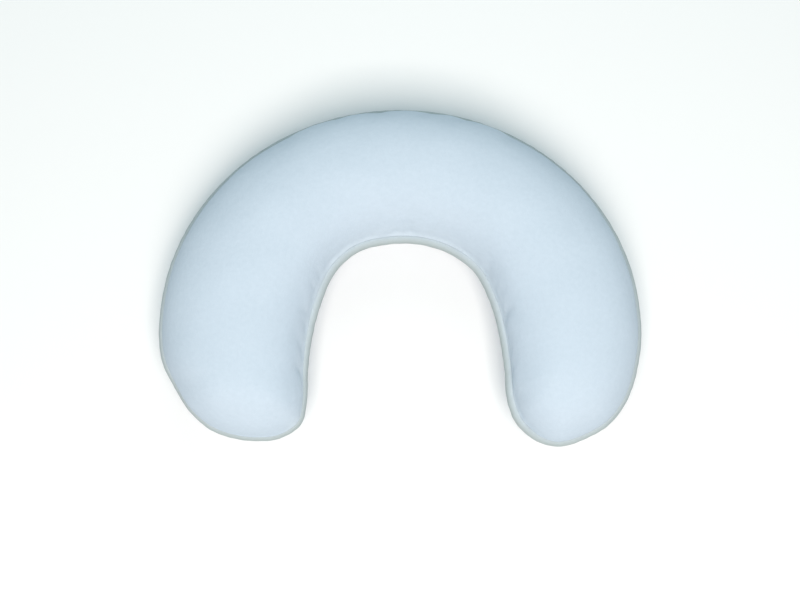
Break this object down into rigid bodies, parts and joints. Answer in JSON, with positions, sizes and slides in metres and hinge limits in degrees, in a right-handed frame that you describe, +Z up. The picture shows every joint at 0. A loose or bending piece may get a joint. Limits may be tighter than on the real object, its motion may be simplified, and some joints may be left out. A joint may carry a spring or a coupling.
{
  "type": "cervical pillow",
  "caption": "Stuffed horseshoe neck pillow of pale blue brushed cloth, with an off-white piped seam round its whole edge.",
  "frame": {"origin": "on the floor under the middle of the pillow's box, the pillow lying on its back", "axes": "+X across the pillow, +Y from the two leg ends to the closed arch, +Z up out of its face"},
  "size_m": [0.342, 0.2452, 0.087],
  "materials": {
    "cover_cloth": "pale blue brushed cloth with a short soft nap, matt with a soft sheen",
    "piping_cloth": "off-white bias-cut plain cloth drawn tight over a cord, matt"
  },
  "bodies": {
    "root": {"pillow": "cover_cloth", "edge_piping": "piping_cloth"}
  },
  "joints": []
}
